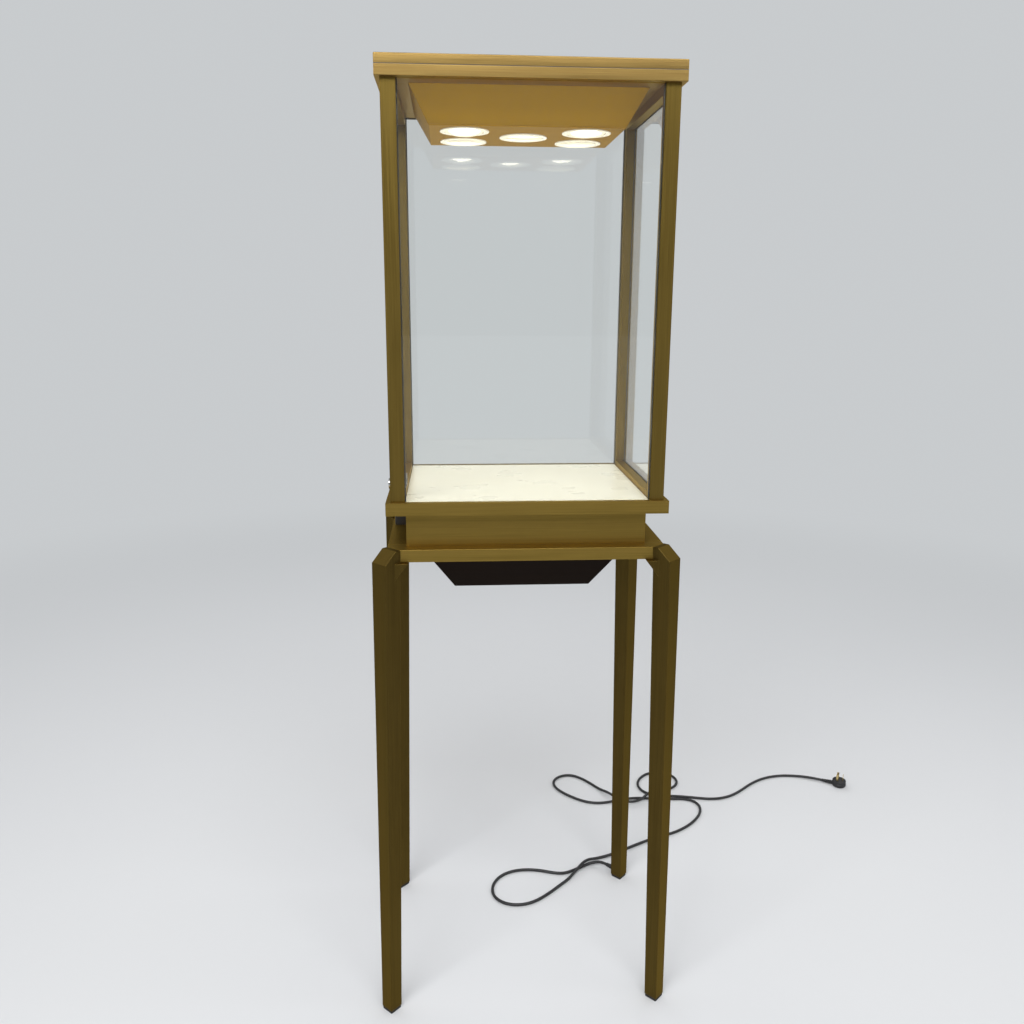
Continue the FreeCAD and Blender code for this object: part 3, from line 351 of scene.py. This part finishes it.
# CAD nodes: material, and a small rounded edge that also opens the seams between pieces

EDGE = 0.0009
CAP_EDGE = 0.0014
SMALL_EDGE = 0.0004
DECK_EDGE = 0.0008
DRIVER_EDGE = 0.002
BLADE_EDGE = 0.0003
EDGE_STEPS = 2
WELD_REACH = 0.00002
SHARP_FROM = 35
FLAT_WEIGHT = 100
FINISHES = {
    "x": ["top_lid", "cap_front_rail", "cap_back_rail", "platform", "plinth_front_board", "hood_front_panel",
          "hood_back_panel", "hood_plate", "stand_front_rail", "stand_back_rail"],
    "y": ["cap_left_rail", "cap_right_rail", "hood_left_panel", "hood_right_panel", "right_top_rail",
          "right_bottom_rail", "door_top_rail", "door_bottom_rail", "plinth_left_board",
          "plinth_right_board", "stand_left_rail", "stand_right_rail"],
    "z": ["post_front_left", "post_front_right", "post_back_left", "post_back_right",
          "leg_front_left", "leg_front_right", "leg_back_left", "leg_back_right"],
}
LAMP_WORDS = ["right_back", "right_front", "left_back", "left_front", "middle"]


def soften(thing, width):
    weld = thing.modifiers.new("join", "WELD")
    weld.merge_threshold = WELD_REACH
    bevel = thing.modifiers.new("edge", "BEVEL")
    bevel.width = width
    bevel.segments = EDGE_STEPS
    bevel.limit_method = "ANGLE"
    bevel.angle_limit = math.radians(SHARP_FROM)
    for face in thing.data.polygons:
        face.use_smooth = True
    flat = thing.modifiers.new("flat_faces", "WEIGHTED_NORMAL")
    flat.mode = "FACE_AREA"
    flat.weight = FLAT_WEIGHT


def finish_node(name, material, edge=EDGE):
    thing = nodes[name]
    if not thing.material_slots:
        thing.data.materials.append(material)
    for holder in thing.material_slots:
        holder.material = material
    if edge:
        soften(thing, edge)


CAP_PIECES = ["top_lid", "cap_front_rail", "cap_back_rail", "cap_left_rail", "cap_right_rail"]
for axis, names in FINISHES.items():
    for name in names:
        if name in CAP_PIECES:
            finish_node(name, cap_bronze[axis], CAP_EDGE)
        elif name.startswith("hood_"):
            finish_node(name, hood_gold[axis], EDGE)
        elif name.startswith("post_"):
            finish_node(name, post_bronze_painted_shade, EDGE)
        elif name.startswith("leg_"):
            finish_node(name, leg_bronze_painted_shade, EDGE)
        else:
            finish_node(name, bronze[axis], EDGE)
for name in ("cross_bar_left", "cross_bar_right", "driver_housing"):
    finish_node(name, housing_bronze_painted_shade)
for name in ("front_glass", "back_glass", "right_glass", "door_glass"):
    finish_node(name, glass, 0)
for word in LAMP_WORDS:
    finish_node("lamp_rim_" + word, lamp_white_painted_glow, SMALL_EDGE)
    finish_node("lamp_head_" + word, lamp_white_painted_glow, SMALL_EDGE)
finish_node("display_deck", deck_cream_painted_glow, DECK_EDGE)
finish_node("rear_box", black_laminate)
finish_node("led_driver", driver_shell, DRIVER_EDGE)
for name in ("door_pivot_bottom", "door_pivot_top", "post_screws", "lock_barrel", "lock_cam"):
    finish_node(name, lock_steel, SMALL_EDGE)
for name in ("leg_glides", "cord_grommet"):
    finish_node(name, black_rubber)
finish_node("plug_blades", contact_brass, BLADE_EDGE)


def mesh_piece(name, mesh, material, body):
    piece = bpy.data.objects.new(name, mesh)
    bpy.context.scene.collection.objects.link(piece)
    mesh.materials.append(material)
    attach(piece, body)
    return piece


ON_AXIS = 1e-6


# A turned form: profile is (radius, height) pairs from the axis outwards and back to it
def turned(name, profile, place, material, body, steps=64):
    builder = bmesh.new()
    rings = []
    for radius, height in profile:
        if radius < ON_AXIS:
            rings.append([builder.verts.new((0, 0, height))])
            continue
        angles = [2 * math.pi * index / steps for index in range(steps)]
        circle = [(radius * math.cos(angle), radius * math.sin(angle), height) for angle in angles]
        rings.append([builder.verts.new(point) for point in circle])
    for lower, upper in zip(rings, rings[1:]):
        for index in range(steps):
            after = (index + 1) % steps
            corners = [lower[index % len(lower)], lower[after % len(lower)],
                       upper[after % len(upper)], upper[index % len(upper)]]
            unique = list(dict.fromkeys(corners))
            if len(unique) > 2:
                builder.faces.new(unique)
    bmesh.ops.recalc_face_normals(builder, faces=builder.faces)
    for face in builder.faces:
        face.smooth = True
    builder.transform(place)
    mesh = bpy.data.meshes.new(name)
    builder.to_mesh(mesh)
    builder.free()
    return mesh_piece(name, mesh, material, body)


# Camera
CAMERA_PLACE = Vector((-0.1364, -1.7455, 1.3813))
CAMERA_YAW = 0.06878
CAMERA_PITCH = -0.23454
CAMERA_ROLL = 0.00537
FOCAL_PIXELS = 912.85
SENSOR = 36.0
PICTURE_PIXELS = 1024


def make_camera():
    ahead = Vector((math.sin(CAMERA_YAW) * math.cos(CAMERA_PITCH),
                    math.cos(CAMERA_YAW) * math.cos(CAMERA_PITCH), math.sin(CAMERA_PITCH)))
    level = Vector((math.cos(CAMERA_YAW), -math.sin(CAMERA_YAW), 0))
    upright = level.cross(ahead)
    right = math.cos(CAMERA_ROLL) * level + math.sin(CAMERA_ROLL) * upright
    up = math.cos(CAMERA_ROLL) * upright - math.sin(CAMERA_ROLL) * level
    turn = Matrix((right, up, -ahead)).transposed().to_4x4()
    data = bpy.data.cameras.new("camera")
    data.sensor_width = SENSOR
    data.lens = FOCAL_PIXELS * SENSOR / PICTURE_PIXELS
    camera = bpy.data.objects.new("camera", data)
    camera.matrix_world = Matrix.Translation(CAMERA_PLACE) @ turn
    bpy.context.scene.collection.objects.link(camera)
    bpy.context.scene.camera = camera


make_camera()


# Power cord: the route's points, in metres
CORD_RADIUS = 0.0035
LOW = 0.0035
OVER = 0.0128
PLUG_END = 0.006
CORD_START = (0.2378, 0.2217, 0.014)
CORD_ROUTE = [
    CORD_START, (0.2258, 0.2337, 0.014), (0.203, 0.240, 0.008), (0.176, 0.231, LOW),
    (0.150, 0.215, LOW), (0.128, 0.207, LOW), (0.104, 0.211, LOW), (0.076, 0.222, LOW),
    (0.044, 0.228, LOW), (0.012, 0.226, LOW), (-0.016, 0.214, LOW), (-0.037, 0.192, LOW),
    (-0.048, 0.163, LOW), (-0.046, 0.132, LOW), (-0.029, 0.108, LOW), (-0.002, 0.096, LOW),
    (0.028, 0.097, LOW), (0.057, 0.110, LOW), (0.086, 0.134, LOW), (0.114, 0.161, LOW),
    (0.141, 0.187, LOW), (0.165, 0.213, OVER), (0.190, 0.246, OVER), (0.221, 0.263, LOW),
    (0.257, 0.276, LOW), (0.292, 0.294, LOW), (0.328, 0.314, LOW), (0.367, 0.334, LOW),
    (0.408, 0.350, LOW), (0.448, 0.366, LOW), (0.484, 0.390, LOW), (0.513, 0.418, LOW),
    (0.535, 0.450, LOW), (0.544, 0.484, LOW), (0.534, 0.512, LOW), (0.507, 0.525, LOW),
    (0.474, 0.526, LOW), (0.440, 0.528, LOW), (0.405, 0.534, LOW), (0.370, 0.537, LOW),
    (0.335, 0.533, LOW), (0.300, 0.521, LOW), (0.264, 0.516, LOW), (0.230, 0.525, LOW),
    (0.201, 0.547, LOW), (0.173, 0.575, LOW), (0.153, 0.607, LOW), (0.151, 0.641, LOW),
    (0.173, 0.668, LOW), (0.206, 0.674, LOW), (0.234, 0.655, LOW), (0.257, 0.625, LOW),
    (0.279, 0.590, LOW), (0.301, 0.553, OVER), (0.320, 0.518, OVER), (0.350, 0.500, OVER),
    (0.383, 0.510, OVER), (0.405, 0.538, OVER), (0.432, 0.562, OVER), (0.466, 0.573, LOW),
    (0.499, 0.590, LOW), (0.514, 0.622, LOW), (0.504, 0.656, LOW), (0.474, 0.677, LOW),
    (0.438, 0.670, LOW), (0.409, 0.647, LOW), (0.393, 0.614, LOW), (0.395, 0.580, LOW),
    (0.415, 0.554, LOW), (0.446, 0.544, LOW), (0.480, 0.541, LOW), (0.515, 0.535, LOW),
    (0.550, 0.526, LOW), (0.584, 0.519, LOW), (0.618, 0.522, LOW), (0.652, 0.536, LOW),
    (0.684, 0.560, LOW), (0.716, 0.588, LOW), (0.750, 0.612, LOW), (0.788, 0.628, LOW),
    (0.828, 0.634, LOW), (0.866, 0.630, LOW), (0.903, 0.616, PLUG_END), (0.936, 0.598, PLUG_END),
]
CORD_ROUND_STEPS = 4
CORD_ALONG_STEPS = 8
CORD_ORDER = 3


def make_cord():
    data = bpy.data.curves.new("power_cord_line", "CURVE")
    data.dimensions = "3D"
    data.bevel_depth = CORD_RADIUS
    data.bevel_resolution = CORD_ROUND_STEPS
    data.resolution_u = CORD_ALONG_STEPS
    data.use_fill_caps = True
    line = data.splines.new("NURBS")
    line.points.add(len(CORD_ROUTE) - 1)
    for point, place in zip(line.points, CORD_ROUTE):
        point.co = (*place, 1)
    line.order_u = CORD_ORDER
    line.use_endpoint_u = True
    line.use_smooth = True
    data.materials.append(cord_sheath)
    cord = bpy.data.objects.new("power_cord_line", data)
    bpy.context.scene.collection.objects.link(cord)
    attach(cord, "showcase")
    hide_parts("power_cord")
    return cord


# Plug: a round shell with a grip rim, lying on its flat back, and a ribbed relief
PLUG_RADIUS = 0.019
PLUG_HEIGHT = 0.018
RELIEF_LENGTH = 0.028


def make_plug():
    end = Vector(CORD_ROUTE[-1])
    ahead = (end - Vector(CORD_ROUTE[-2])).normalized()
    centre = end + ahead * (RELIEF_LENGTH + PLUG_RADIUS)
    profile = [(0, 0), (0.016, 0), (0.0182, 0.0009), (PLUG_RADIUS, 0.003), (PLUG_RADIUS, 0.0105),
               (0.0178, 0.0112), (0.0178, 0.0122), (0.0186, 0.0129), (0.0186, 0.0162), (0.0178, PLUG_HEIGHT),
               (0.004, PLUG_HEIGHT), (0, PLUG_HEIGHT)]
    place = Matrix.Translation((centre.x, centre.y, 0))
    shell = turned("plug_shell", profile, place, plug_shell, "showcase")
    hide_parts("plug_body")
    ribs = 6
    profile = [(0, 0), (0.0040, 0)]
    for index in range(ribs):
        share = index / ribs
        start = 0.0005 + share * (RELIEF_LENGTH - 0.002)
        step = (RELIEF_LENGTH - 0.002) / ribs
        ridge = 0.0043 + 0.0016 * share
        profile += [(ridge, start), (ridge, start + step * 0.55), (ridge - 0.0008, start + step * 0.65),
                    (ridge - 0.0008, start + step * 0.95)]
    profile += [(0.0059, RELIEF_LENGTH), (0.0059, RELIEF_LENGTH + 0.004), (0, RELIEF_LENGTH + 0.004)]
    turn = Matrix.Translation(end) @ ahead.to_track_quat("Z", "Y").to_matrix().to_4x4()
    relief = turned("plug_relief", profile, turn, plug_shell, "showcase", 32)
    return shell, relief


cord = make_cord()
plug, plug_relief = make_plug()


# Spot lamps: a stepped reflector ring and a shallow lens in each lamp's face, as radius and height above it
LAMP_FACE = -0.0055
TILT_REACH = 20
REFLECTOR = [(0.0278, 0.0029), (0.0278, 0.0004), (0.0262, 0.0003), (0.0225, 0.0021), (0.0212, 0.0016),
             (0.0205, 0.0026), (0.0205, 0.0029)]
LENS = [(0, 0.0004), (0.006, 0.0006), (0.013, 0.0011), (0.0185, 0.0019), (0.0204, 0.0027), (0, 0.0029)]


def make_lamp_face(word):
    joint = [item for item in frame["joints"] if item["name"] == "lamp_tilt_" + word][0]
    tilt = math.radians(TILT_REACH) - math.radians(joint["range_deg"][1])
    place = Matrix.Translation(Vector(joint["pos_m"])) @ Matrix.Rotation(tilt, 4, "X")
    faces = (("lamp_reflector_", REFLECTOR, reflector_painted_glow), ("lamp_lens_", LENS, lens_glow))
    for name, profile, material in faces:
        raised = [(radius, LAMP_FACE + height) for radius, height in profile]
        turned(name + word, raised, place, material, "lamp_" + word)


for word in LAMP_WORDS:
    make_lamp_face(word)


STRIP_ROUND = 0.3


# A thin bar with rounded edges, for the seals and the painted shade in the cap's joint
def strip(name, low, high, body):
    builder = bmesh.new()
    bmesh.ops.create_cube(builder, size=1)
    scale = Vector(high) - Vector(low)
    centre = (Vector(high) + Vector(low)) / 2
    bmesh.ops.scale(builder, vec=scale, verts=builder.verts)
    bmesh.ops.translate(builder, vec=centre, verts=builder.verts)
    bmesh.ops.bevel(builder, geom=builder.edges[:], offset=min(scale) * STRIP_ROUND, segments=2, affect="EDGES")
    mesh = bpy.data.meshes.new(name)
    builder.to_mesh(mesh)
    builder.free()
    return mesh_piece(name, mesh, seal_and_painted_gap_shade, body)


# Dark seals along the panes, where they meet the posts, cap, rails and platform
SEAL_WIDE = 0.0022
SEAL_THICK = 0.0009


def make_seals():
    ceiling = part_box("cap_front_rail")[0][2]
    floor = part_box("platform")[1][2]
    for word, side in (("front", -1), ("back", 1)):
        low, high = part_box(word + "_glass")
        x_in = -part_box("post_%s_left" % word)[1][0]
        inner_y = high[1] if side < 0 else low[1]
        y = sorted((inner_y, inner_y - side * SEAL_THICK))
        for hand, sign in (("left", -1), ("right", 1)):
            x = sorted((sign * x_in, sign * (x_in - SEAL_WIDE)))
            strip("seal_%s_%s" % (word, hand), (x[0], y[0], floor), (x[1], y[1], ceiling), "showcase")
        if side > 0:
            strip("seal_back_top", (-x_in, y[0], ceiling - SEAL_WIDE), (x_in, y[1], ceiling), "showcase")
    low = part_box("right_glass")[0]
    y_in = -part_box("post_front_right")[1][1]
    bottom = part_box("right_bottom_rail")[1][2]
    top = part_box("right_top_rail")[0][2]
    x = (low[0] - SEAL_THICK, low[0])
    for word, sign in (("front", -1), ("back", 1)):
        y = sorted((sign * y_in, sign * (y_in - SEAL_WIDE)))
        strip("seal_right_" + word, (x[0], y[0], bottom), (x[1], y[1], top), "showcase")
    for word, z in (("bottom", (bottom, bottom + SEAL_WIDE)), ("top", (top - SEAL_WIDE, top))):
        strip("seal_right_" + word, (x[0], -y_in, z[0]), (x[1], y_in, z[1]), "showcase")


make_seals()


# Painted shade in the joint between the lid and the rails of the cap: a dark strip set back in the rounded
# edges
JOINT_HALF = 0.0013
JOINT_BACK = 0.0002
JOINT_THICK = 0.0008


def make_cap_gap_painted_shade():
    low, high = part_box("top_lid")
    z = (low[2] - JOINT_HALF, low[2] + JOINT_HALF)
    x_out = high[0] - JOINT_BACK
    y_out = high[1] - JOINT_BACK
    for word, sign in (("front", -1), ("back", 1)):
        y = sorted((sign * y_out, sign * (y_out - JOINT_THICK)))
        strip("cap_gap_painted_shade_" + word, (-x_out, y[0], z[0]), (x_out, y[1], z[1]), "showcase")
    for word, sign in (("left", -1), ("right", 1)):
        x = sorted((sign * x_out, sign * (x_out - JOINT_THICK)))
        y_in = y_out - JOINT_THICK
        strip("cap_gap_painted_shade_" + word, (x[0], -y_in, z[0]), (x[1], y_in, z[1]), "showcase")


make_cap_gap_painted_shade()


# Stage: a pale floor that fades into the backdrop, and plain soft light
FLOOR_REACH = 30.0
FADE_START = 1.3
FADE_END = 4.5
FLOOR_ROUGH = 0.8
FLOOR_RELIEF = 0.05
ROOM_LIGHT = 0.26


def make_floor():
    builder = bmesh.new()
    signs = ((-1, -1), (1, -1), (1, 1), (-1, 1))
    builder.faces.new([builder.verts.new((x * FLOOR_REACH, y * FLOOR_REACH, 0)) for x, y in signs])
    mesh = bpy.data.meshes.new("floor")
    builder.to_mesh(mesh)
    builder.free()
    floor = bpy.data.objects.new("floor", mesh)
    bpy.context.scene.collection.objects.link(floor)
    material = moulded("floor_pale", FLOOR_PALE, FLOOR_PALE, FLOOR_ROUGH, FLOOR_RELIEF)
    tree = material.node_tree
    shader = tree.nodes["Principled BSDF"]
    place = add(tree, "ShaderNodeTexCoord")
    distance = add(tree, "ShaderNodeVectorMath", operation="LENGTH")
    fade = add(tree, "ShaderNodeMapRange", interpolation_type="SMOOTHSTEP")
    fade.inputs["From Min"].default_value = FADE_START
    fade.inputs["From Max"].default_value = FADE_END
    far = add(tree, "ShaderNodeEmission")
    far.inputs["Color"].default_value = BACKDROP
    choose = add(tree, "ShaderNodeMixShader")
    tree.links.new(place.outputs["Object"], distance.inputs[0])
    tree.links.new(distance.outputs["Value"], fade.inputs["Value"])
    tree.links.new(fade.outputs["Result"], choose.inputs[0])
    tree.links.new(shader.outputs[0], choose.inputs[1])
    tree.links.new(far.outputs[0], choose.inputs[2])
    tree.links.new(choose.outputs[0], tree.nodes["Material Output"].inputs["Surface"])
    mesh.materials.append(material)


def make_world():
    world = bpy.data.worlds.new("room")
    bpy.context.scene.world = world
    world.use_nodes = True
    tree = world.node_tree
    tree.nodes.clear()
    leave = add(tree, "ShaderNodeOutputWorld")
    seen = add(tree, "ShaderNodeBackground")
    seen.inputs["Color"].default_value = BACKDROP
    lit = add(tree, "ShaderNodeBackground")
    lit.inputs["Color"].default_value = SKY
    lit.inputs["Strength"].default_value = ROOM_LIGHT
    path = add(tree, "ShaderNodeLightPath")
    looked_at = add(tree, "ShaderNodeMath", operation="MAXIMUM")
    choose = add(tree, "ShaderNodeMixShader")
    tree.links.new(path.outputs["Is Camera Ray"], looked_at.inputs[0])
    tree.links.new(path.outputs["Is Transmission Ray"], looked_at.inputs[1])
    tree.links.new(looked_at.outputs[0], choose.inputs[0])
    tree.links.new(lit.outputs[0], choose.inputs[1])
    tree.links.new(seen.outputs[0], choose.inputs[2])
    tree.links.new(choose.outputs[0], leave.inputs["Surface"])


# A soft lamp that lights the scene and isn't seen itself or through a pane; sizes in metres, power in watts
def area_light(name, place, target, size, power, colour=(1, 1, 1), glossy=True):
    data = bpy.data.lights.new(name, "AREA")
    data.shape = "RECTANGLE"
    data.size, data.size_y = size
    data.energy = power
    data.color = colour
    lamp = bpy.data.objects.new(name, data)
    lamp.location = place
    lamp.rotation_euler = (Vector(target) - Vector(place)).to_track_quat("-Z", "Y").to_euler()
    lamp.visible_camera = False
    lamp.visible_transmission = False
    lamp.visible_glossy = glossy
    bpy.context.scene.collection.objects.link(lamp)


WARM = (1.0, 0.91, 0.68)
CASE_LIGHT_GAP = 0.004


def make_lights():
    area_light("key", (-1.9, -2.7, 3.3), (0, 0, 1.0), (1.8, 1.8), 75)
    area_light("top", (0.2, -1.9, 3.2), (0, 0, 1.1), (2.0, 1.4), 55)
    area_light("fill", (3.0, -1.6, 2.2), (0, 0, 1.0), (2.4, 2.4), 26)
    area_light("rear", (0.2, 3.4, 2.4), (0, 0, 1.0), (4.0, 1.2), 26, glossy=False)
    area_light("rear_left", (-2.3, 1.8, 3.1), (0, 0, 1.0), (3.4, 3.4), 30)
    area_light("rear_right", (2.5, 1.7, 3.1), (0, 0, 1.0), (3.4, 3.4), 30)
    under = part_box("lamp_rim_middle")[0][2] - CASE_LIGHT_GAP
    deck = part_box("display_deck")[1][2] + CASE_LIGHT_GAP
    area_light("case_down", (0, 0, under), (0, 0, 0), (0.30, 0.19), 0.8, WARM, glossy=False)
    area_light("case_up", (0, 0, deck), (0, 0, 2), (0.40, 0.32), 3.2, WARM, glossy=False)


make_floor()
make_world()
make_lights()
bpy.context.scene.view_settings.view_transform = "Standard"
